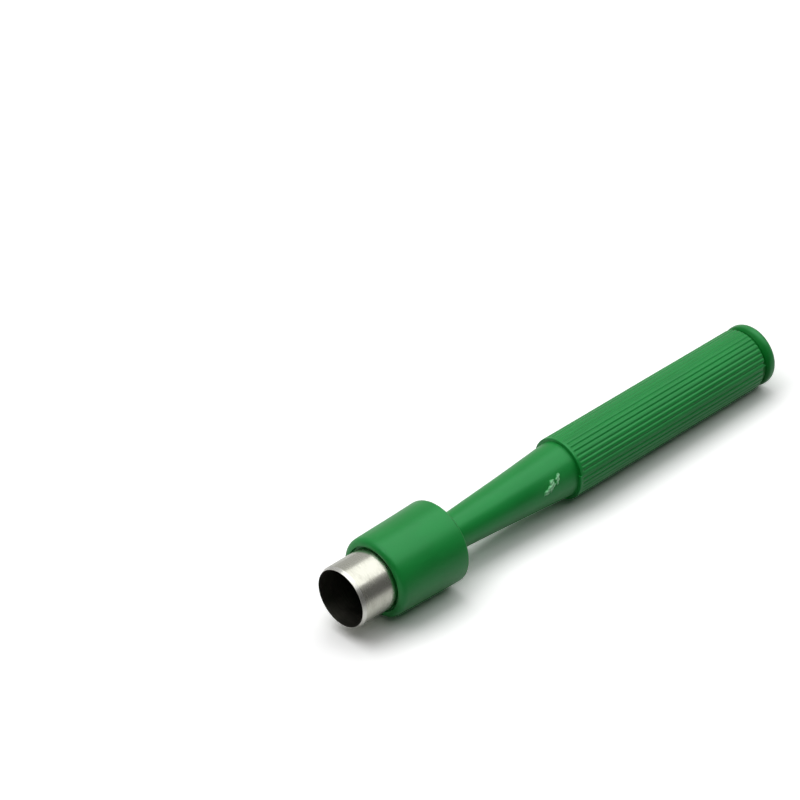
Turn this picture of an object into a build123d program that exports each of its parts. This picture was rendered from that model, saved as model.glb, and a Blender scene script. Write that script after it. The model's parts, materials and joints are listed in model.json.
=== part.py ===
from build123d import *
import os
from math import asin, atan2, cos, degrees, hypot, radians, sin, tan

# A biopsy punch: a ground steel tube in a moulded plastic handle with a plugged, ribbed grip.
# It lies as it comes to rest, on the rear edge of its head and on the rear edge of its end cap.
# Millimetres, +Z up. The blade points towards -X and the end cap towards +X.
# The origin is on the table, under the middle of the punch.

# Blade: the bore is the punch's nominal size, and the bevel is ground on the outside
blade_bore = 10.0
blade_wall = 0.3
blade_reach = 7.0
blade_seat = 10.0
bevel_length = 0.65
cutting_edge_width = 0.04

# Head that holds the blade, with a shallow recess round the blade
head_length = 14.4
head_front_diameter = 13.8
head_rear_diameter = 14.5
head_front_round = 1.15
head_front_flat_share = 0.08
head_rear_round = 0.5
recess_width = 0.35
recess_depth = 0.7

# Neck, a little slimmer half way along than a straight cone
neck_length = 27.55
neck_front_diameter = 6.0
neck_rear_diameter = 9.6
neck_waist = 0.08
neck_root_chamfer = 0.3

# Grip: two moulded halves of a sleeve, one of them slipped a little towards the blade
grip_length = 44.35
grip_diameter = 10.8
grip_front_chamfer = 0.1
grip_lip = 0.4
half_slip = 0.3
grooves_per_half = 19
groove_width = 0.5
groove_floor_width = 0.16
groove_depth = 0.17
parting_spacing = 1.25
parting_angle = 75.0

# Hollow of the grip, with a straight mouth for the end cap's plug
hollow_diameter = 7.6
hollow_mouth_length = 8.0
hollow_end_diameter = 6.6
hollow_end_wall = 5.0

# End cap: a disc that swells from its front, has a short straight side and a rounded rear edge,
# then a slimmer shoulder that leaves a seam round the joint, and a plug in the hollow
cap_diameter = 10.9
cap_front_diameter = 10.2
cap_swell_length = 1.0
cap_side_length = 0.3
cap_rear_round = 1.1
seam_width = 0.5
seam_depth = 0.45
plug_length = 6.0
plug_clearance = 0.03
plug_chamfer = 0.4

# Torn-off moulding gate on the neck, as two stubs with their distances from the grip and their
# angles from the top, and the nick that the flash left in the grip's rear edge
gate_diameter = 1.5
gate_height = 0.15
gate_root = 0.6
gate_stubs = ((6.2, 67.0), (4.0, 60.0))
nick_width = 0.5
nick_length = 0.45
nick_depth = 0.3

# Radii, and stations along the punch's own axis, counted from the cutting edge
bore_radius = blade_bore / 2
blade_radius = bore_radius + blade_wall
recess_radius = blade_radius + recess_width
head_start = blade_reach
head_end = head_start + head_length
socket_end = head_start + blade_seat
neck_end = head_end + neck_length
grip_end = neck_end + grip_length
cap_start = grip_end + seam_width
cap_widest = cap_start + cap_swell_length
punch_length = cap_widest + cap_side_length + cap_rear_round
head_front_radius = head_front_diameter / 2
head_rear_radius = head_rear_diameter / 2
head_front_width = (head_front_radius - recess_radius) * (1 - head_front_flat_share)
neck_front_radius = neck_front_diameter / 2
neck_rear_radius = neck_rear_diameter / 2
grip_radius = grip_diameter / 2
core_radius = grip_radius - seam_depth
hollow_radius = hollow_diameter / 2
plug_radius = hollow_radius - plug_clearance
cap_radius = cap_diameter / 2
cap_front_radius = cap_front_diameter / 2

# The rounded edges that touch the table are circles in the side view, and the table is the line
# that touches both, so the punch leans towards its end cap. The head's side is slightly conical.
head_taper = atan2(head_rear_radius - head_front_radius, head_length)
head_round_centre = head_rear_radius - head_rear_round * (tan(head_taper) + 1 / cos(head_taper))
cap_round_centre = cap_radius - cap_rear_round
span = (punch_length - cap_rear_round) - (head_end - head_rear_round)
drop = head_round_centre - cap_round_centre
lean = degrees(atan2(drop, span) + asin((head_rear_round - cap_rear_round) / hypot(span, drop)))
rearward = Vector(cos(radians(lean)), 0, -sin(radians(lean)))
upward = Vector(sin(radians(lean)), 0, cos(radians(lean)))
axis_height = head_rear_round + head_round_centre * cos(radians(lean))
edge_height = axis_height + (head_end - head_rear_round) * sin(radians(lean))
edge_centre = Vector(-punch_length / 2 * cos(radians(lean)), 0, edge_height)
punch_axis = Axis(edge_centre, rearward)


def outward(angle):
    """Direction straight out from the axis, at an angle from the top towards -Y."""
    return upward * cos(radians(angle)) + Vector(0, -1, 0) * sin(radians(angle))


def lengthwise(angle):
    """Plane through the axis at that angle: its first coordinate is a station, its second a radius."""
    return Plane(origin=edge_centre, x_dir=rearward, z_dir=rearward.cross(outward(angle)))


def crosswise(station):
    """Plane across the punch at a station, facing the end cap, with angles counted as above."""
    return Plane(origin=edge_centre + rearward * station, x_dir=upward, z_dir=rearward)


def round_corner(station, radius, size):
    """Round the corner of the open sketch that is nearest to a station and a radius."""
    fillet(vertices().sort_by_distance((station, radius))[0], size)


def cut_corner(station, radius, size):
    """Chamfer the corner of the open sketch that is nearest to a station and a radius."""
    chamfer(vertices().sort_by_distance((station, radius))[0], size)


def neck_radius(station):
    """Radius of the neck at a station."""
    share = (station - head_end) / neck_length
    straight = neck_front_radius + (neck_rear_radius - neck_front_radius) * share
    return straight - 4 * neck_waist * share * (1 - share)


os.makedirs("parts", exist_ok=True)

# Blade: one seamless tube, bevelled to a fine edge at the bore
with BuildPart() as blade:
    with BuildSketch(lengthwise(0)):
        with BuildLine():
            Polyline(
                (0, bore_radius),
                (0, bore_radius + cutting_edge_width),
                (bevel_length, blade_radius),
                (socket_end, blade_radius),
                (socket_end, bore_radius),
                close=True,
            )
        make_face()
    revolve(axis=punch_axis)
blade.part.label = "blade"
export_step(blade.part, "parts/blade.step")

# Handle: head, neck and hollow core first, then the ribbed sleeve of the grip
sleeve_root = (core_radius + hollow_radius) / 2
groove_section = (
    (-groove_depth, -groove_floor_width / 2),
    (0, -groove_width / 2),
    (groove_depth, -groove_width / 2),
    (groove_depth, groove_width / 2),
    (0, groove_width / 2),
    (-groove_depth, groove_floor_width / 2),
)
parting_gap = degrees(parting_spacing / grip_radius)

with BuildPart() as handle:
    with BuildSketch(lengthwise(0)):
        with BuildLine():
            outer = Polyline(
                (head_start + recess_depth, blade_radius),
                (head_start + recess_depth, recess_radius),
                (head_start, recess_radius),
                (head_start, head_front_radius),
                (head_end, head_rear_radius),
                (head_end, neck_front_radius),
            )
            middle = head_end + neck_length / 2
            neck = ThreePointArc(outer @ 1, (middle, neck_radius(middle)), (neck_end, neck_rear_radius))
            Polyline(
                neck @ 1,
                (neck_end, core_radius),
                (grip_end, core_radius),
                (grip_end, hollow_radius),
                (grip_end - hollow_mouth_length, hollow_radius),
                (neck_end + hollow_end_wall, hollow_end_diameter / 2),
                (neck_end + hollow_end_wall, 0),
                (socket_end, 0),
                (socket_end, blade_radius),
                outer @ 0,
            )
        make_face()
        round_corner(head_start, head_front_radius, min(head_front_round, head_front_width))
        round_corner(head_end, head_rear_radius, head_rear_round)
        cut_corner(head_end, neck_front_radius, neck_root_chamfer)
    revolve(axis=punch_axis)

    for half, slip in enumerate((0, half_slip)):
        sleeve_start = neck_end - slip
        sleeve_end = grip_end - slip
        first_angle = parting_angle + 180 * (half - 1)
        with BuildSketch(lengthwise(first_angle)):
            with BuildLine():
                Polyline(
                    (sleeve_start, sleeve_root),
                    (sleeve_start, grip_radius),
                    (sleeve_end, grip_radius),
                    (sleeve_end, sleeve_root),
                    close=True,
                )
            make_face()
            cut_corner(sleeve_start, grip_radius, grip_front_chamfer)
        revolve(axis=punch_axis, revolution_arc=180)
        with BuildSketch(crosswise(sleeve_start + grip_lip)):
            with PolarLocations(
                grip_radius,
                grooves_per_half,
                start_angle=first_angle + parting_gap / 2,
                angular_range=180 - parting_gap,
                endpoint=True,
            ):
                Polygon(*groove_section, align=None)
        extrude(amount=grip_length, mode=Mode.SUBTRACT)

    for distance, angle in gate_stubs:
        station = neck_end - distance
        stub_depth = neck_radius(station) - gate_root
        stub_foot = edge_centre + rearward * station + outward(angle) * stub_depth
        with BuildSketch(Plane(origin=stub_foot, x_dir=rearward, z_dir=outward(angle))):
            Circle(gate_diameter / 2)
        extrude(amount=gate_root + gate_height)

    nick_foot = edge_centre + rearward * grip_end + outward(parting_angle) * (grip_radius - nick_depth)
    with BuildSketch(Plane(origin=nick_foot, x_dir=rearward, z_dir=outward(parting_angle))):
        Rectangle(2 * nick_length, nick_width)
    extrude(amount=2 * nick_depth, mode=Mode.SUBTRACT)
handle.part.label = "handle"
export_step(handle.part, "parts/handle.step")

# End cap: disc, shoulder and plug, turned as one profile
with BuildPart() as end_cap:
    with BuildSketch(lengthwise(0)):
        with BuildLine():
            swell = TangentArc(
                (cap_widest, cap_radius), (cap_start, cap_front_radius), tangent=(-1, 0)
            )
            Polyline(
                swell @ 1,
                (cap_start, core_radius),
                (grip_end, core_radius),
                (grip_end, plug_radius),
                (grip_end - plug_length + plug_chamfer, plug_radius),
                (grip_end - plug_length, plug_radius - plug_chamfer),
                (grip_end - plug_length, 0),
                (punch_length, 0),
                (punch_length, cap_radius),
                swell @ 0,
            )
        make_face()
        round_corner(punch_length, cap_radius, cap_rear_round)
    revolve(axis=punch_axis)
end_cap.part.label = "end_cap"
export_step(end_cap.part, "parts/end_cap.step")
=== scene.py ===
"""A biopsy punch lying on a pale studio floor, dressed for the photograph.

The punch's axis leans a little, because it rests on the rear edge of its head and on its end cap.
Shapes are written in the punch's own measures: a station along the axis in millimetres from the
cutting edge, a radius in millimetres, and an angle round the axis from the top towards the camera.
"""

import json

import bpy
import numpy as np
from mathutils import Matrix, Vector


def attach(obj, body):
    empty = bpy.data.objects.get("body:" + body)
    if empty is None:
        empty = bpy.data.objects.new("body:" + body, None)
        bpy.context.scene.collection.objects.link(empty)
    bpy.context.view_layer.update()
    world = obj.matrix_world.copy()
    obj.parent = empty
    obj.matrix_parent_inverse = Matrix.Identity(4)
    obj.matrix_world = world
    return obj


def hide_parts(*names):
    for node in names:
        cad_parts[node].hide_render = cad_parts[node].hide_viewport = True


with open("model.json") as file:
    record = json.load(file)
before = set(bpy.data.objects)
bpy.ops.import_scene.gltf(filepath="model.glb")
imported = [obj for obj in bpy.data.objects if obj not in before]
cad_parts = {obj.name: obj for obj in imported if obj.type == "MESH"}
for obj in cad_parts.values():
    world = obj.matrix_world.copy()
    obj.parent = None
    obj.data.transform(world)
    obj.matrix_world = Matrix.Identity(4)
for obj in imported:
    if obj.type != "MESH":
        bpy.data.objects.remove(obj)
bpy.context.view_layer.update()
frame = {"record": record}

MM = 0.001

# Blade: a tube with a bevel ground on its outside, down to a fine edge at the bore
BORE_RADIUS = 5.0
BLADE_RADIUS = 5.3
BEVEL_LENGTH = 0.65
BEVEL_ROUND = 0.25
EDGE_WIDTH = 0.04
SOCKET_END = 17.0
BLADE_COLUMNS = 288
BLADE_RUN = 1.2

# Head, with a shallow recess round the blade, and neck, slimmer half way along than a cone
HEAD_START = 7.0
HEAD_END = 21.4
HEAD_FRONT_RADIUS = 6.9
HEAD_REAR_RADIUS = 7.25
HEAD_FRONT_ROUND = 1.1
HEAD_REAR_ROUND = 0.5
HEAD_RUN = 2.4
RECESS_RADIUS = 5.65
RECESS_DEPTH = 0.7
RECESS_FLOOR_ROUND = 0.1
RECESS_EDGE_ROUND = 0.12
NECK_FRONT_RADIUS = 3.0
NECK_REAR_RADIUS = 4.8
NECK_WAIST = 0.08
NECK_ROWS = 26

# Grip: a ribbed sleeve round a core, with a fine line at its root
GRIP_START = 48.95
GRIP_END = 93.3
GRIP_RADIUS = 5.4
GRIP_FRONT_ROUND = 0.12
GRIP_REAR_ROUND = 0.06
GRIP_REAR_GAP = 0.03
GRIP_RUN = 0.22 * (GRIP_END - GRIP_START)
CORE_RADIUS = 4.95
ROOT_WIDTH = 0.12
ROOT_DEPTH = 0.05
ROOT_ROUND = 0.03
HANDLE_COLUMNS = 912

# Grooves: they start behind a plain lip and come to their full depth over these stations
GRIP_LIP = 0.4
GROOVE_RUN_IN = GRIP_START + GRIP_LIP + np.array([0.0, 0.12, 0.24, 0.36])
GROOVES_PER_HALF = 19
GROOVE_HALF_WIDTH = 0.28
GROOVE_DEPTH = 0.14

# Parting of the two moulded halves: one is slipped towards the blade and trimmed at its rear
# edge, a thin flash runs along the line, and a nick and a tag of flash mark the rear edge
PARTING_SPACING = 1.25
PARTING_ANGLE = np.radians(75.0)
HALF_SLIP = 0.3
HALF_TRIM = 0.25
REAR_EDGE = 0.5
NICK_LENGTH, NICK_WIDTH, NICK_SHIFT = 0.32, 0.22, 0.45
TAG_LENGTH, TAG_WIDTH = 0.2, 0.16
FLASH_HEIGHT, FLASH_WIDTH = 0.025, 0.09

# Sway of the moulded skin, faded out near the axis and in front of this station, with its two
# waves in radians per millimetre along the punch
SWAY_HEIGHT = 0.012
SWAY_SHORT, SWAY_LONG = 0.42, 0.15
SWAY_START = HEAD_START + 1.5
SWAY_INNER_RADIUS = 2.0

# Marks on the handle: pale wear on the grooves' crests, the head's rear rim and round the gate, and
# painted shade that darkens the ribbed grip, the neck before the grip and the sleeve's front face,
# most of all by the jog that the slipped half makes
CREST_WEAR = 0.02
RIM_WEAR = 0.12
RIM_RADII = (HEAD_REAR_RADIUS - 0.3, HEAD_REAR_RADIUS - 0.05)
RIM_STATIONS = (HEAD_END - 0.7, HEAD_END - 0.2)
GATE_WEAR = 0.25
GATE_STATION = 43.8
GATE_ANGLE = np.radians(64.0)
GATE_LENGTH, GATE_WIDTH = 2.8, 1.5
JOG_SHIFT, JOG_WIDTH = 0.9, 1.8
RIBBED_PAINTED_SHADE = 0.12
NECK_PAINTED_SHADE, NECK_PAINTED_SHADE_AT_JOG = 0.4, 0.45
NECK_SHADE_REACH, NECK_SHADE_REACH_AT_JOG = 0.25, 0.5
FACE_PAINTED_SHADE, FACE_PAINTED_SHADE_AT_JOG = 0.1, 0.75

# Torn crumbs of the moulding gate on the neck: name, station, degrees from the top, length,
# width, height, slant in radians, seed
CRUMBS = (
    ("gate_crumb_front", 42.15, 73.0, 1.8, 0.85, 0.26, -0.65, 3),
    ("gate_crumb_middle", 43.05, 66.0, 2.0, 1.3, 0.42, -1.0, 11),
    ("gate_crumb_rear", 44.6, 58.5, 1.7, 0.8, 0.34, -1.0, 8),
)
CRUMB_COLUMNS = 56
CRUMB_ROWS = 29
CRUMB_LIFT = 0.02
CRUMB_WAVES = np.arange(2, 8)
CRUMB_RAGGEDNESS = 0.34
CRUMB_BUMPS_ALONG, CRUMB_BUMPS_ACROSS = 9.0, 13.0
CRUMB_ROUGHNESS = 0.45
CRUMB_WEAR, CRUMB_WEAR_ON_BUMPS = 0.75, 0.5

# End cap: a shoulder in the seam, and a disc with a faint sink mark and a pale ring behind
CAP_START = 93.8
CAP_RADIUS = 5.45
CAP_FRONT_RADIUS = 5.1
CAP_SWELL = 1.0
CAP_REAR_ROUND = 1.1
CAP_OVERLAP = 0.1
CAP_SEAM_ROUND = 0.05
CAP_COLUMNS = 320
CAP_ARC_ROWS = 11
CAP_RUN = 0.8
PUNCH_LENGTH = 96.2
SINK_DEPTH, SINK_RADIUS = 0.05, 2.1
RING_WEAR, RING_RADIUS, RING_WIDTH = 0.5, 2.6, 0.12
CAP_RIM_WEAR, CAP_RIM_WIDTH = 0.1, 0.5
# Painted shade on the cap's front swell behind the seam, reaching further by the slipped half's jog
CAP_PAINTED_SHADE = 0.95
CAP_SHADE_FULL, CAP_SHADE_REACH, CAP_SHADE_REACH_AT_JOG = 0.25, 1.1, 0.6
CAP_JOG_TURN, CAP_JOG_WIDTH = 0.55, 0.4

# Plastic: its own colour, that of its worn places, and the tint and strength of its sheen
GREEN = (0.009, 0.278, 0.044, 1.0)
CAP_GREEN = (0.009, 0.25, 0.041, 1.0)
TORN_GREEN = (0.03, 0.34, 0.08, 1.0)
PALE_GREEN = (0.07, 0.4, 0.12, 1.0)
TORN_PALE = (0.45, 0.85, 0.52, 1.0)
FLOW_SHADE = (0.86, 0.9, 0.88, 1.0)
# Painted shade darkens the plastic by multiplying it with this colour
PAINTED_SHADE_COLOUR = (0.4, 0.7, 0.5, 1.0)
SHEEN_TINT = (0.38, 1.0, 0.58, 1.0)
SHEEN = 0.9
# Sheen left where painted shade lies in full
PAINTED_SHADE_SHEEN = 0.15 * SHEEN
PLASTIC_IOR = 1.49

# Steel: colour between the lines that run round the axis, and colour where they gather
TUBE_TONE, TUBE_SHADE = (0.7, 0.7, 0.615, 1.0), (0.6, 0.6, 0.52, 1.0)
BEVEL_TONE, BEVEL_SHADE = (0.8, 0.8, 0.75, 1.0), (0.68, 0.68, 0.62, 1.0)
# The bore's steel is painted far darker than the tube's: painted shade inside the bore
BORE_PAINTED_SHADE_TONE, BORE_SHADE = (0.24, 0.235, 0.2, 1.0), (0.16, 0.155, 0.13, 1.0)

# Faces that meet at a larger angle than this have a sharp edge, and rows of a profile are told
# apart by being in the same place or well inside an edge
SHARP_ANGLE = np.radians(38.0)
SAME_PLACE = 0.01
WELL_INSIDE = 0.1

# The punch's axis, from the mount on the end cap's rear face
cap_mount = next(mount for mount in frame["record"]["mounts"] if mount["name"] == "cap_face")
REARWARD = np.array(cap_mount["axis"]) / np.linalg.norm(cap_mount["axis"])
SIDEWARD = np.array([0.0, -1.0, 0.0])
UPWARD = np.cross(SIDEWARD, REARWARD)
EDGE_CENTRE = np.array(cap_mount["pos_m"]) / MM - REARWARD * PUNCH_LENGTH
LEAN = np.arctan2(-REARWARD[2], REARWARD[0])


# Shapes


def smooth_step(low, high, value):
    """0 below low, 1 above high, and the cubic 3x^2 - 2x^3 between."""
    share = np.clip((value - low) / (high - low), 0.0, 1.0)
    return share * share * (3.0 - 2.0 * share)


def bell(distance, width):
    """The bell curve exp(-(distance / width)^2)."""
    return np.exp(-((distance / width) ** 2))


def around(count):
    """Evenly spaced angles for one full turn."""
    return np.linspace(0.0, 2.0 * np.pi, count, endpoint=False)


def turn_between(angle, middle):
    """Signed angle from middle to angle, wrapped into half a turn either way."""
    return (angle - middle + np.pi) % (2.0 * np.pi) - np.pi


def on_punch(station, radius, angle):
    """Points edge centre + station x rearward + radius x (cos angle x up + sin angle x side)."""
    station, radius, angle = np.broadcast_arrays(station, radius, angle)
    outward = np.cos(angle)[..., None] * UPWARD + np.sin(angle)[..., None] * SIDEWARD
    return (EDGE_CENTRE + station[..., None] * REARWARD + radius[..., None] * outward) * MM


def rounded_path(corners, arc_rows=7):
    """Straight runs between corners (station, radius, rounding), each rounded corner an arc.

    With u and w the unit directions to the neighbours and f the angle between them, the arc's
    centre lies rounding / sin(f / 2) along u + w, and it starts rounding / tan(f / 2) along u.
    """
    corners = [np.array(corner, dtype=float) for corner in corners]
    path = [corners[0][None, :2]]
    for before, here, after in zip(corners, corners[1:], corners[2:]):
        point, rounding = here[:2], here[2]
        if rounding == 0.0:
            path.append(point[None])
            continue
        u = (before[:2] - point) / np.linalg.norm(before[:2] - point)
        w = (after[:2] - point) / np.linalg.norm(after[:2] - point)
        half = np.arccos(np.clip(u @ w, -1.0, 1.0)) / 2.0
        centre = point + (u + w) / np.linalg.norm(u + w) * rounding / np.sin(half)
        first = point + u * rounding / np.tan(half) - centre
        last = point + w * rounding / np.tan(half) - centre
        sweep = np.linspace(0.0, np.pi - 2.0 * half, arc_rows)[:, None]
        across = last - first * (first @ last) / (first @ first)
        across *= rounding / np.linalg.norm(across)
        path.append(centre + np.cos(sweep) * first + np.sin(sweep) * across)
    path.append(corners[-1][None, :2])
    return np.concatenate(path)


def divided(path, longest):
    """The same path with each straight run cut into equal pieces no longer than longest."""
    pieces = []
    for start, end in zip(path, path[1:]):
        count = max(1, int(np.ceil(np.linalg.norm(end - start) / longest)))
        share = np.arange(count)[:, None] / count
        pieces.append(start + (end - start) * share)
    pieces.append(path[-1:])
    return np.concatenate(pieces)


def grid_piece(name, points, materials, attributes=None, ring=False):
    """A closed skin through a grid of points, rows along the profile and columns round the axis.

    Neighbouring rows and columns are joined by four-sided faces. The first and last rows are
    single points that fans join to the rest, except in a ring, whose last row joins its first.
    """
    rows, columns = points.shape[:2]
    index = np.arange(rows * columns).reshape(rows, columns)
    keep = np.ones((rows, columns), dtype=bool)
    if ring:
        body = np.concatenate([index, index[:1]])
    else:
        body = index[1:-1]
        keep[[0, -1], 1:] = False
    keep = keep.reshape(-1)
    renumber = np.cumsum(keep) - 1
    ahead = np.roll(body, -1, axis=1)
    quads = np.stack([body[:-1], ahead[:-1], ahead[1:], body[1:]], axis=-1).reshape(-1, 4)
    faces = renumber[quads].tolist()
    if not ring:
        first = np.full(columns, index[0, 0])
        last = np.full(columns, index[-1, 0])
        faces += renumber[np.stack([first, ahead[0], body[0]], axis=-1)].tolist()
        faces += renumber[np.stack([last, body[-1], ahead[-1]], axis=-1)].tolist()
    mesh = bpy.data.meshes.new(name)
    mesh.from_pydata(points.reshape(-1, 3)[keep].tolist(), [], faces)
    mesh.polygons.foreach_set("use_smooth", np.ones(len(mesh.polygons), dtype=bool))
    for key, values in (attributes or {}).items():
        layer = mesh.attributes.new(key, "FLOAT", "POINT")
        layer.data.foreach_set("value", np.broadcast_to(values, (rows, columns)).reshape(-1)[keep])
    for material in materials:
        mesh.materials.append(material)
    mesh.set_sharp_from_angle(angle=SHARP_ANGLE)
    mesh.update()
    piece = bpy.data.objects.new(name, mesh)
    bpy.context.scene.collection.objects.link(piece)
    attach(piece, "root")
    return piece


# Shader helpers


def grey(level):
    """A grey of one level, without transparency."""
    return (level, level, level, 1.0)


def join(tree, node, values):
    """Fill a node's inputs: each value is a socket to link or a fixed value to set."""
    for key, value in values.items():
        if isinstance(value, bpy.types.NodeSocket):
            tree.links.new(value, node.inputs[key])
        else:
            node.inputs[key].default_value = value


def new_node(tree, kind, values=None, **settings):
    """A node with its settings made and its inputs filled."""
    made = tree.nodes.new(kind)
    for key, value in settings.items():
        setattr(made, key, value)
    join(tree, made, values or {})
    return made


def new_group(name, inputs, outputs):
    """An empty node group with named sockets, and its input and output nodes."""
    tree = bpy.data.node_groups.new(name, "ShaderNodeTree")
    for label, kind, value in inputs:
        socket = tree.interface.new_socket(label, in_out="INPUT", socket_type=kind)
        socket.default_value = value
    for label, kind in outputs:
        tree.interface.new_socket(label, in_out="OUTPUT", socket_type=kind)
    return tree, tree.nodes.new("NodeGroupInput"), tree.nodes.new("NodeGroupOutput")


def placed(tree, group, values=None):
    """The outputs of a node group placed in a tree with its inputs filled."""
    settings = {"node_tree": bpy.data.node_groups[group]}
    return new_node(tree, "ShaderNodeGroup", values, **settings).outputs


def stretched_noise(tree, vector, scale, detail, stretch=(1.0, 1.0, 1.0), roughness=0.5):
    """Noise on the punch's own millimetres, with its coordinates multiplied by stretch."""
    mapping = new_node(tree, "ShaderNodeMapping", {"Vector": vector, "Scale": stretch})
    values = {
        "Vector": mapping.outputs["Vector"],
        "Scale": scale,
        "Detail": detail,
        "Roughness": roughness,
    }
    return new_node(tree, "ShaderNodeTexNoise", values).outputs["Fac"]


def ramp_between(tree, value, low, high, start=0.0, end=1.0):
    """Map Range from low..high to start..end, clamped, with smooth ends."""
    values = {"Value": value, "From Min": low, "From Max": high, "To Min": start, "To Max": end}
    made = new_node(tree, "ShaderNodeMapRange", values, interpolation_type="SMOOTHSTEP")
    return made.outputs["Result"]


def combined(tree, operation, a, b, clamped=False):
    """Math node: the sum or product of two sockets."""
    made = new_node(
        tree, "ShaderNodeMath", {0: a, 1: b}, operation=operation, use_clamp=clamped
    )
    return made.outputs["Value"]


def mixed(tree, factor, a, b, blend="MIX"):
    """Colour mix; each of factor, a and b is a socket or a fixed value."""
    made = new_node(tree, "ShaderNodeMix", data_type="RGBA", blend_type=blend)
    order = [socket.identifier for socket in made.inputs]
    values = {"Factor_Float": factor, "A_Color": a, "B_Color": b}
    join(tree, made, {order.index(label): value for label, value in values.items()})
    return next(socket for socket in made.outputs if socket.identifier == "Result_Color")


def bumped(tree, height, distance, strength, under=None):
    """Bump of a height, in metres of relief, over another normal where one is given."""
    values = {"Height": height, "Distance": distance, "Strength": strength}
    if under is not None:
        values["Normal"] = under
    return new_node(tree, "ShaderNodeBump", values).outputs["Normal"]


def attribute(tree, name):
    """The value of a piece's own attribute, 0 where the piece has none."""
    return new_node(tree, "ShaderNodeAttribute", attribute_name=name).outputs["Fac"]


# Finishes


def punch_coordinates():
    """Group: Object coordinates in millimetres along the punch, to its side and up from its axis.

    The mapping undoes the lean and moves the middle of the cutting edge to zero.
    """
    tree, _, out = new_group("punch_coordinates", (), (("Vector", "NodeSocketVector"),))
    shift = -(Matrix.Rotation(-LEAN, 3, "Y") @ Vector(EDGE_CENTRE.tolist()))
    values = {
        "Vector": new_node(tree, "ShaderNodeTexCoord").outputs["Object"],
        "Location": shift,
        "Rotation": (0.0, -LEAN, 0.0),
        "Scale": (1.0 / MM,) * 3,
    }
    mapping = new_node(tree, "ShaderNodeMapping", values)
    join(tree, out, {"Vector": mapping.outputs["Vector"]})


def moulded_skin():
    """Group: colour, roughness and normal of spark-eroded, injection-moulded plastic.

    Broad flow marks drift along the punch, faint polishing lines run with it, and a fine grain of
    about a tenth of a millimetre covers everything. Worn places are paler and painted shade darker.
    """
    tree, given, out = new_group(
        "moulded_skin",
        (
            ("Tone", "NodeSocketColor", GREEN),
            ("Pale", "NodeSocketColor", PALE_GREEN),
            ("Wear", "NodeSocketFloat", 0.0),
            ("PaintedShade", "NodeSocketFloat", 0.0),
        ),
        (
            ("Color", "NodeSocketColor"),
            ("Roughness", "NodeSocketFloat"),
            ("Normal", "NodeSocketVector"),
        ),
    )
    tone, pale = given.outputs["Tone"], given.outputs["Pale"]
    where = placed(tree, "punch_coordinates")["Vector"]
    flow = stretched_noise(tree, where, scale=0.28, detail=4.0, stretch=(0.35, 1.0, 1.0))
    lines = stretched_noise(tree, where, scale=6.0, detail=3.0, stretch=(0.06, 1.0, 1.0))
    grain = stretched_noise(tree, where, scale=7.0, detail=2.0)
    specks = stretched_noise(tree, where, scale=2.6, detail=5.0, roughness=0.65)

    deep = mixed(tree, 1.0, tone, FLOW_SHADE, blend="MULTIPLY")
    drifted = mixed(tree, ramp_between(tree, flow, low=0.35, high=0.65), deep, tone)
    scuffs = ramp_between(tree, specks, low=0.62, high=0.8, end=0.35)
    scuffed = mixed(tree, scuffs, drifted, pale)
    worn = mixed(tree, given.outputs["Wear"], scuffed, pale)
    # Painted shade: the worn colour multiplied darker, mixed in by the painted shade input
    shaded = mixed(tree, 1.0, worn, PAINTED_SHADE_COLOUR, blend="MULTIPLY")

    satin = ramp_between(tree, flow, low=0.3, high=0.7, start=0.31, end=0.37)
    dulled = ramp_between(tree, specks, low=0.5, high=0.8, end=0.1)

    broad = bumped(tree, flow, distance=0.012 * MM, strength=0.6)
    lined = bumped(tree, lines, distance=0.006 * MM, strength=0.5, under=broad)
    fine = bumped(tree, grain, distance=0.006 * MM, strength=0.6, under=lined)
    values = {
        "Color": mixed(tree, given.outputs["PaintedShade"], worn, shaded),
        "Roughness": combined(tree, "ADD", satin, dulled),
        "Normal": fine,
    }
    join(tree, out, values)


def ring_lines():
    """Group: roughness and normal of metal polished or ground round the axis.

    The noise is stretched so that it changes quickly along the punch and slowly round it. The
    mask is its product with broad clouds, and leads from the smooth roughness to the dull one.
    """
    tree, given, out = new_group(
        "ring_lines",
        (
            ("Fineness", "NodeSocketFloat", 9.0),
            ("Smooth", "NodeSocketFloat", 0.16),
            ("Dull", "NodeSocketFloat", 0.28),
        ),
        (
            ("Mask", "NodeSocketFloat"),
            ("Roughness", "NodeSocketFloat"),
            ("Normal", "NodeSocketVector"),
        ),
    )
    where = placed(tree, "punch_coordinates")["Vector"]
    fineness = given.outputs["Fineness"]
    lines = stretched_noise(
        tree, where, scale=fineness, detail=5.0, stretch=(1.0, 0.07, 0.07), roughness=0.6
    )
    clouds = stretched_noise(tree, where, scale=0.5, detail=4.0)
    gathered = combined(tree, "MULTIPLY", lines, clouds)
    mask = ramp_between(tree, gathered, low=0.15, high=0.4)
    limits = {"To Min": given.outputs["Smooth"], "To Max": given.outputs["Dull"]}
    gloss = new_node(tree, "ShaderNodeMapRange", {"Value": mask, **limits})
    values = {
        "Mask": mask,
        "Roughness": gloss.outputs["Result"],
        "Normal": bumped(tree, lines, distance=0.002 * MM, strength=0.5),
    }
    join(tree, out, values)


def new_material(name):
    """A material with one Principled shader, and its tree and shader."""
    made = bpy.data.materials.new(name)
    made.use_nodes = True
    return made, made.node_tree, made.node_tree.nodes["Principled BSDF"]


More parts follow.
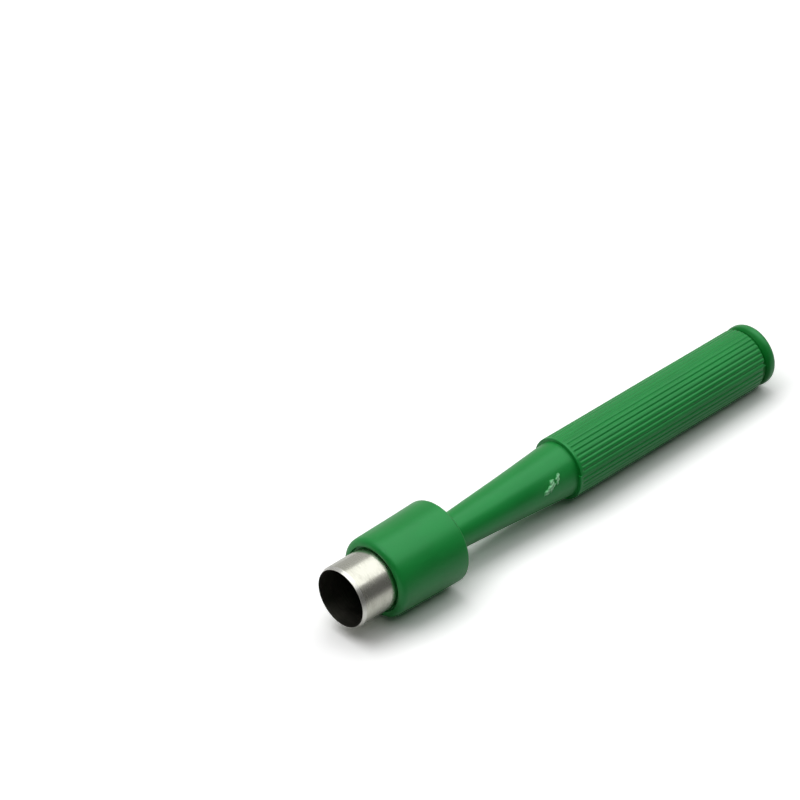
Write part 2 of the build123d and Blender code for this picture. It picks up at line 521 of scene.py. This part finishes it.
def green_plastic(name, tone, pale):
    """Satin green plastic with the moulded skin, driven by the piece's own two attributes.

    Its wear is paler, and where painted shade lies it is darker and loses most of its sheen.
    """
    made, tree, shader = new_material(name)
    wear, painted_shade = attribute(tree, "wear"), attribute(tree, "painted_shade")
    given = {"Tone": tone, "Pale": pale, "Wear": wear, "PaintedShade": painted_shade}
    skin = placed(tree, "moulded_skin", given)
    values = {
        "Base Color": skin["Color"],
        "Roughness": skin["Roughness"],
        "Normal": skin["Normal"],
        "IOR": PLASTIC_IOR,
        # Painted shade also takes away most of the sheen, as no reflection reaches shaded places
        "Specular IOR Level": ramp_between(tree, painted_shade, 0.0, 1.0, SHEEN, PAINTED_SHADE_SHEEN),
        "Specular Tint": SHEEN_TINT,
    }
    join(tree, shader, values)
    return made


def steel(name, tone, shade, fineness, smooth, dull):
    """Bare steel with lines round the axis, darker where the lines gather."""
    made, tree, shader = new_material(name)
    given = {"Fineness": fineness, "Smooth": smooth, "Dull": dull}
    lines = placed(tree, "ring_lines", given)
    values = {
        "Base Color": mixed(tree, lines["Mask"], tone, shade),
        "Metallic": 1.0,
        "Roughness": lines["Roughness"],
        "Normal": lines["Normal"],
    }
    join(tree, shader, values)
    return made


punch_coordinates()
moulded_skin()
ring_lines()
handle_plastic = green_plastic("handle_plastic", GREEN, PALE_GREEN)
cap_plastic = green_plastic("cap_plastic", CAP_GREEN, PALE_GREEN)
torn_plastic = green_plastic("torn_plastic", TORN_GREEN, TORN_PALE)
tube_steel = steel("tube_steel", TUBE_TONE, TUBE_SHADE, fineness=9.0, smooth=0.19, dull=0.29)
bevel_steel = steel("bevel_steel", BEVEL_TONE, BEVEL_SHADE, fineness=22.0, smooth=0.22, dull=0.38)
# Painted shade: the bore's steel is given a far darker colour than the tube's
painted_shade_bore_steel = steel("painted_shade_bore_steel", BORE_PAINTED_SHADE_TONE, BORE_SHADE, fineness=5.0, smooth=0.34, dull=0.5)


# Pieces


def neck_radius(station):
    """A straight cone less a parabola 4 x waist x s x (1 - s), with s the share of the neck."""
    share = (station - HEAD_END) / (GRIP_START - HEAD_END)
    straight = NECK_FRONT_RADIUS + (NECK_REAR_RADIUS - NECK_FRONT_RADIUS) * share
    return straight - 4.0 * NECK_WAIST * share * (1.0 - share)


def groove_angles():
    """Middle angle of every groove: each half's grooves are evenly spaced between parting lines."""
    gap = PARTING_SPACING / GRIP_RADIUS
    one_half = np.linspace(gap / 2.0, np.pi - gap / 2.0, GROOVES_PER_HALF)
    return np.concatenate([PARTING_ANGLE - np.pi + one_half, PARTING_ANGLE + one_half])


def handle_profile():
    """Rows (station, radius) from the socket's floor to the core's end, and a column that is 1 on
    the grip's rows.
    """
    head = rounded_path(
        (
            (SOCKET_END, 0.0, 0.0),
            (SOCKET_END, BLADE_RADIUS, 0.0),
            (HEAD_START + RECESS_DEPTH, BLADE_RADIUS, 0.0),
            (HEAD_START + RECESS_DEPTH, RECESS_RADIUS, RECESS_FLOOR_ROUND),
            (HEAD_START, RECESS_RADIUS, RECESS_EDGE_ROUND),
            (HEAD_START, HEAD_FRONT_RADIUS, HEAD_FRONT_ROUND),
            (HEAD_END, HEAD_REAR_RADIUS, HEAD_REAR_ROUND),
            (HEAD_END, NECK_FRONT_RADIUS, 0.0),
        )
    )
    head = divided(head[:-1], HEAD_RUN)
    neck_station = np.linspace(HEAD_END, GRIP_START - ROOT_WIDTH, NECK_ROWS)
    neck = np.column_stack([neck_station, neck_radius(neck_station)])
    root_radius = neck_radius(GRIP_START) - ROOT_DEPTH
    grip = rounded_path(
        (
            (GRIP_START - ROOT_WIDTH / 2.0, root_radius, 0.0),
            (GRIP_START, root_radius, ROOT_ROUND),
            (GRIP_START, GRIP_RADIUS, GRIP_FRONT_ROUND),
            (GRIP_END - GRIP_REAR_GAP, GRIP_RADIUS, GRIP_REAR_ROUND),
            (GRIP_END - GRIP_REAR_GAP, CORE_RADIUS, 0.0),
        ),
        arc_rows=5,
    )
    grip = divided(grip, GRIP_RUN)
    run_in = np.column_stack([GROOVE_RUN_IN, np.full(len(GROOVE_RUN_IN), GRIP_RADIUS)])
    split = int(np.argmax(grip[:, 0] > GROOVE_RUN_IN[-1]))
    grip = np.concatenate([grip[:split], run_in, grip[split:]])
    core = np.array([[GRIP_END, CORE_RADIUS], [GRIP_END, 0.0]])
    on_grip = np.repeat([0.0, 1.0, 0.0], [len(head) + len(neck), len(grip), len(core)])
    return np.concatenate([head, neck, grip, core]), on_grip[:, None]


def make_handle():
    """Head, neck and ribbed grip as one skin: a profile turned round the axis.

    The grip's rows lose depth x (1 - t^2)^1.5 at each groove, with t the distance from the groove's
    middle over its half width, and slide towards the blade by the slip on one moulded half, whose
    rear edge is also trimmed. Bell curves give the nick, the tag and the flash, and the sway is a
    product of two sine waves that run along the punch and round it.
    """
    profile, on_grip = handle_profile()
    row_station, row_radius = profile[:, :1], profile[:, 1:]
    on_sleeve = on_grip * (row_radius > CORE_RADIUS)
    angle = around(HANDLE_COLUMNS)
    station = row_station + np.zeros_like(angle)
    radius = row_radius + np.zeros_like(angle)

    away = turn_between(angle[:, None], groove_angles())
    nearest = np.min(np.abs(away), axis=1) * GRIP_RADIUS / GROOVE_HALF_WIDTH
    groove = np.clip(1.0 - nearest**2, 0.0, 1.0) ** 1.5
    ribbed = smooth_step(GROOVE_RUN_IN[0], GROOVE_RUN_IN[-1], row_station) * on_sleeve
    radius -= GROOVE_DEPTH * ribbed * groove

    from_parting = turn_between(angle, PARTING_ANGLE) * GRIP_RADIUS
    slipped = (from_parting > 0.0).astype(float)
    at_rear = on_grip * (row_station > GRIP_END - REAR_EDGE)
    nick = NICK_LENGTH * bell(from_parting + NICK_SHIFT, NICK_WIDTH)
    tag = TAG_LENGTH * bell(from_parting, TAG_WIDTH)
    station -= HALF_SLIP * on_grip * slipped
    station -= at_rear * (nick - tag + HALF_TRIM * slipped)
    radius += FLASH_HEIGHT * on_sleeve * bell(from_parting, FLASH_WIDTH)
    sway = SWAY_HEIGHT * np.sin(station * SWAY_SHORT + 2.0 * angle)
    sway = sway * np.sin(station * SWAY_LONG + angle) * (row_station > SWAY_START)
    radius += sway * np.clip(row_radius - SWAY_INNER_RADIUS, 0.0, 1.0)

    crests = CREST_WEAR * ribbed * (1.0 - groove)
    gate_along = (station - GATE_STATION) / GATE_LENGTH
    gate_round = turn_between(angle, GATE_ANGLE) * radius / GATE_WIDTH
    scuffing = GATE_WEAR * bell(np.hypot(gate_along, gate_round), 1.0) * (on_grip == 0.0)
    rim = RIM_WEAR * smooth_step(*RIM_RADII, radius) * smooth_step(*RIM_STATIONS, station)
    wear = crests + scuffing + rim
    wear[profile[:, 1] == 0.0] = 0.0

    # Painted shade: over the ribbed grip, on the neck before the grip and on the sleeve's front
    # face, strongest by the slipped half's jog
    at_jog = bell(from_parting + JOG_SHIFT, JOG_WIDTH)
    shade_reach = NECK_SHADE_REACH + NECK_SHADE_REACH_AT_JOG * at_jog
    before_grip = np.clip(GRIP_START - row_station, 0.0, None)
    on_neck = np.exp(-before_grip / shade_reach) * (on_grip == 0.0)
    on_front = on_grip * (row_station < GRIP_START + SAME_PLACE)
    on_face = on_front * (row_radius < GRIP_RADIUS - WELL_INSIDE)
    painted_shade = RIBBED_PAINTED_SHADE * ribbed
    painted_shade = painted_shade + (NECK_PAINTED_SHADE + NECK_PAINTED_SHADE_AT_JOG * at_jog) * on_neck
    painted_shade = painted_shade + (FACE_PAINTED_SHADE + FACE_PAINTED_SHADE_AT_JOG * at_jog) * on_face

    marks = {"wear": wear, "painted_shade": painted_shade}
    points = on_punch(station, radius, angle)
    piece = grid_piece("handle_moulding", points, [handle_plastic], marks)
    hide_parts("handle")


def make_blade():
    """The tube's outline, turned round the axis: edge, bevel, outside, seat and bore, as a ring."""
    outline = rounded_path(
        (
            (0.0, BORE_RADIUS, 0.0),
            (0.0, BORE_RADIUS + EDGE_WIDTH, 0.0),
            (BEVEL_LENGTH, BLADE_RADIUS, BEVEL_ROUND),
            (SOCKET_END, BLADE_RADIUS, 0.0),
            (SOCKET_END, BORE_RADIUS, 0.0),
        ),
        arc_rows=6,
    )
    outline = divided(np.concatenate([outline, outline[:1]]), BLADE_RUN)[:-1]
    points = on_punch(outline[:, :1], outline[:, 1:], around(BLADE_COLUMNS))
    piece = grid_piece("blade_tube", points, [tube_steel, bevel_steel, painted_shade_bore_steel], ring=True)
    middle = (outline + np.roll(outline, -1, axis=0)) / 2.0
    finish = np.zeros(len(outline), dtype=np.int32)
    finish[middle[:, 0] < BEVEL_LENGTH - 2.0 * SAME_PLACE] = 1
    finish[np.abs(middle[:, 1] - BORE_RADIUS) < SAME_PLACE] = 2
    piece.data.polygons.foreach_set("material_index", np.repeat(finish, BLADE_COLUMNS))
    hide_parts("blade")


def make_cap():
    """End cap: shoulder, disc and slightly sunk rear face, as one turned skin.

    The disc's front swells along a circle of radius (length^2 + rise^2) / (2 x rise), which meets
    its straight side without an edge. Bell curves give the sink mark and the ring.
    """
    inner = rounded_path(
        (
            (GRIP_END - CAP_OVERLAP, 0.0, 0.0),
            (GRIP_END - CAP_OVERLAP, CORE_RADIUS, 0.0),
            (CAP_START, CORE_RADIUS, CAP_SEAM_ROUND),
            (CAP_START, CAP_FRONT_RADIUS, 0.0),
        )
    )
    rise = CAP_RADIUS - CAP_FRONT_RADIUS
    bend = (CAP_SWELL**2 + rise**2) / (2.0 * rise)
    back = np.linspace(CAP_SWELL, 0.0, CAP_ARC_ROWS)[:, None]
    swell_radius = CAP_RADIUS - bend + np.sqrt(bend**2 - back**2)
    swell = np.hstack([CAP_START + CAP_SWELL - back, swell_radius])
    outer = rounded_path(
        (
            (CAP_START + CAP_SWELL, CAP_RADIUS, 0.0),
            (PUNCH_LENGTH, CAP_RADIUS, CAP_REAR_ROUND),
            (PUNCH_LENGTH, 0.0, 0.0),
        ),
        arc_rows=CAP_ARC_ROWS,
    )
    outline = divided(np.concatenate([inner[:-1], swell, outer[1:]]), CAP_RUN)
    angle = around(CAP_COLUMNS)
    station = outline[:, :1] + np.zeros_like(angle)
    radius = outline[:, 1:] + np.zeros_like(angle)
    on_rear = station > PUNCH_LENGTH - SAME_PLACE
    station = station - SINK_DEPTH * bell(radius, SINK_RADIUS) * on_rear

    ring = RING_WEAR * bell(radius - RING_RADIUS, RING_WIDTH) * on_rear
    rim = CAP_RIM_WEAR * smooth_step(CAP_RADIUS - CAP_RIM_WIDTH, CAP_RADIUS, radius)
    # Painted shade on the swell behind the seam, reaching further by the slipped half's jog
    at_jog = bell(turn_between(angle, PARTING_ANGLE) + CAP_JOG_TURN, CAP_JOG_WIDTH)
    shade_reach = CAP_SHADE_REACH + CAP_SHADE_REACH_AT_JOG * at_jog
    from_seam = np.clip(station - CAP_START, 0.0, None)
    painted_shade = CAP_PAINTED_SHADE * (1.0 - smooth_step(CAP_SHADE_FULL, shade_reach, from_seam))
    painted_shade *= (radius > CORE_RADIUS - WELL_INSIDE) * (station < PUNCH_LENGTH - WELL_INSIDE)

    marks = {"wear": ring + rim, "painted_shade": painted_shade}
    points = on_punch(station, radius, angle)
    piece = grid_piece("cap_moulding", points, [cap_plastic], marks)
    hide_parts("end_cap")


def make_gate_crumb(name, station, degrees, length, width, height, slant, seed):
    """A torn crumb of the moulding gate: a flattened ball on the neck with a ragged outline.

    The ball's length and width grow and shrink by a few seeded sine waves round it, and its top is
    roughened by others, so that no two crumbs look alike.
    """
    rng = np.random.default_rng(seed)
    turn = around(CRUMB_COLUMNS)
    fall = np.linspace(0.0, np.pi, CRUMB_ROWS)[:, None]
    phase = rng.uniform(0.0, 2.0 * np.pi, len(CRUMB_WAVES))
    swings = CRUMB_RAGGEDNESS / CRUMB_WAVES * np.sin(CRUMB_WAVES * turn[:, None] + phase)
    ragged = 1.0 + np.sum(swings, axis=-1)
    along = np.sin(fall) * np.cos(turn) * length / 2.0 * ragged
    across = np.sin(fall) * np.sin(turn) * width / 2.0 * ragged
    bumps = np.sin(along * CRUMB_BUMPS_ALONG + phase[0])
    bumps = bumps * np.sin(across * CRUMB_BUMPS_ACROSS + phase[1])
    rough = 1.0 + CRUMB_ROUGHNESS * bumps * np.sin(fall)
    lift = height * np.cos(fall) * rough + CRUMB_LIFT
    place = station + along * np.cos(slant) - across * np.sin(slant)
    arc = along * np.sin(slant) + across * np.cos(slant)
    angle = np.radians(degrees) + arc / neck_radius(station)
    points = on_punch(place, neck_radius(place) + lift, angle)
    torn = np.clip(CRUMB_WEAR + CRUMB_WEAR_ON_BUMPS * bumps, 0.0, 1.0)
    wear = np.clip(np.cos(fall), 0.0, 1.0) * torn
    piece = grid_piece(name, points, [torn_plastic], {"wear": wear})


make_handle()
make_blade()
make_cap()
for crumb in CRUMBS:
    make_gate_crumb(*crumb)


# Studio, in metres, and a camera far away with a long lens, as the photograph was taken

LENS = 198.0
SENSOR = 36.0
CAMERA_AZIMUTH = float(np.radians(44.3))
CAMERA_ELEVATION = float(np.radians(37.57))
CAMERA_DISTANCE = 0.74
CAMERA_NEAREST = 0.01
AIM = Vector((0.00113, 0.03715, 0.0))

# Floor: its tone to bounced light, to mirrored rays in front of and behind the punch, and to the
# camera, where it turns to plain white between two distances from the middle
FLOOR_SIZE = 3.0
FLOOR_BOUNCED = grey(0.35)
# Mirrored rays see the floor darker in front of the punch: painted shade in the steel's reflection
FLOOR_MIRRORED_SHADE_IN_FRONT, FLOOR_MIRRORED_BEHIND = grey(0.22), grey(0.75)
FLOOR_TURN = (-0.07, -0.005)
FLOOR_SHOWN = grey(1.33)
SHADOW_REACH = 0.11
FLOOR_FADE = 0.3

# Room: its tones to bounced light and to mirrored rays, on its dim and on its bright side
WHITE = grey(1.0)
ROOM_DIM, ROOM_BRIGHT = grey(0.02), grey(0.5)
SHINE_DIM, SHINE_BRIGHT = grey(0.12), grey(0.5)
BRIGHT_SIDE = (0.35, 0.6, 0.72)

# Lamps: name, place, width, depth, radiance
LAMPS = (
    ("broad_ceiling_light", (0.225, -0.045, 0.6), 1.25, 0.89, 0.96),
    ("left_softbox", (-0.2, 0.15, 0.6), 0.7, 0.4, 2.1),
)


def make_floor():
    """A pale floor that keeps the punch's shadow and fades into the white background."""
    made = bpy.data.materials.new("studio_floor")
    made.use_nodes = True
    tree = made.node_tree
    tree.nodes.remove(tree.nodes["Principled BSDF"])
    ray = new_node(tree, "ShaderNodeLightPath").outputs
    place = new_node(tree, "ShaderNodeTexCoord").outputs["Object"]
    axes = new_node(tree, "ShaderNodeSeparateXYZ", {"Vector": place}).outputs
    # Painted shade in reflections: mirrored rays see the floor darker in front of the punch than
    # behind
    behind = ramp_between(tree, axes["Y"], *FLOOR_TURN)
    mirrored = mixed(tree, behind, FLOOR_MIRRORED_SHADE_IN_FRONT, FLOOR_MIRRORED_BEHIND)
    tone = mixed(tree, ray["Is Glossy Ray"], FLOOR_BOUNCED, mirrored)
    paper = new_node(tree, "ShaderNodeBsdfDiffuse", {"Color": tone}).outputs["BSDF"]
    shown = new_node(tree, "ShaderNodeBsdfDiffuse", {"Color": FLOOR_SHOWN}).outputs["BSDF"]
    white = new_node(tree, "ShaderNodeEmission", {"Color": WHITE, "Strength": 1.0})
    distance = new_node(tree, "ShaderNodeVectorMath", {0: place}, operation="LENGTH")
    fade = ramp_between(tree, distance.outputs["Value"], SHADOW_REACH, FLOOR_FADE)
    near_to_far = {0: fade, 1: shown, 2: white.outputs["Emission"]}
    pale = new_node(tree, "ShaderNodeMixShader", near_to_far).outputs["Shader"]
    seen = combined(tree, "ADD", ray["Is Camera Ray"], ray["Is Transmission Ray"], clamped=True)
    choice = new_node(tree, "ShaderNodeMixShader", {0: seen, 1: paper, 2: pale})
    join(tree, tree.nodes["Material Output"], {"Surface": choice.outputs["Shader"]})

    half = FLOOR_SIZE / 2.0
    corners = [(-half, -half, 0.0), (half, -half, 0.0), (half, half, 0.0), (-half, half, 0.0)]
    mesh = bpy.data.meshes.new("studio_floor")
    mesh.from_pydata(corners, [], [(0, 1, 2, 3)])
    mesh.materials.append(made)
    floor = bpy.data.objects.new("studio_floor", mesh)
    bpy.context.scene.collection.objects.link(floor)


def make_world():
    """White backdrop behind the punch; the room on the camera's side of it is dim.

    Bounced light comes from above and beyond the punch. Mirrored and transmitted rays see the
    room grow brighter towards its bright side, and the camera sees plain white.
    """
    world = bpy.data.worlds.new("studio")
    bpy.context.scene.world = world
    world.use_nodes = True
    tree = world.node_tree
    ray = new_node(tree, "ShaderNodeLightPath").outputs
    way = new_node(tree, "ShaderNodeTexCoord").outputs["Generated"]
    ways = {0: way, 1: BRIGHT_SIDE}
    facing = new_node(tree, "ShaderNodeVectorMath", ways, operation="DOT_PRODUCT")
    to_bright_side = ramp_between(tree, facing.outputs["Value"], low=0.0, high=0.5)
    axes = new_node(tree, "ShaderNodeSeparateXYZ", {"Vector": way}).outputs
    beyond = ramp_between(tree, axes["Y"], low=-0.1, high=0.4)
    raised = ramp_between(tree, axes["Z"], low=0.35, high=0.8)
    room = mixed(tree, combined(tree, "MULTIPLY", beyond, raised), ROOM_DIM, ROOM_BRIGHT)
    shine = mixed(tree, to_bright_side, SHINE_DIM, SHINE_BRIGHT)
    direct = combined(tree, "ADD", ray["Is Glossy Ray"], ray["Is Transmission Ray"], clamped=True)
    lit = mixed(tree, direct, room, shine)
    seen = mixed(tree, ray["Is Camera Ray"], lit, WHITE)
    join(tree, tree.nodes["Background"], {"Color": seen})


def overhead_lamp(name, place, width, depth, radiance):
    """A soft rectangular lamp that faces straight down, with its radiance x pi x area as power."""
    data = bpy.data.lights.new(name, "AREA")
    data.shape = "RECTANGLE"
    data.size = width
    data.size_y = depth
    data.energy = float(radiance * np.pi * width * depth)
    lamp = bpy.data.objects.new(name, data)
    bpy.context.scene.collection.objects.link(lamp)
    lamp.location = place


def make_camera():
    """A camera that looks at the aim from its distance, turned and tilted as the photograph's."""
    data = bpy.data.cameras.new("camera")
    data.lens = LENS
    data.sensor_width = SENSOR
    data.sensor_fit = "HORIZONTAL"
    data.clip_start = CAMERA_NEAREST
    camera = bpy.data.objects.new("camera", data)
    bpy.context.scene.collection.objects.link(camera)
    towards = Vector(
        (
            np.sin(CAMERA_AZIMUTH) * np.cos(CAMERA_ELEVATION),
            np.cos(CAMERA_AZIMUTH) * np.cos(CAMERA_ELEVATION),
            -np.sin(CAMERA_ELEVATION),
        )
    )
    camera.location = AIM - towards * CAMERA_DISTANCE
    camera.rotation_euler = towards.to_track_quat("-Z", "Y").to_euler()
    bpy.context.scene.camera = camera


make_floor()
make_world()
for lamp in LAMPS:
    overhead_lamp(*lamp)
make_camera()
bpy.context.scene.view_settings.view_transform = "Standard"
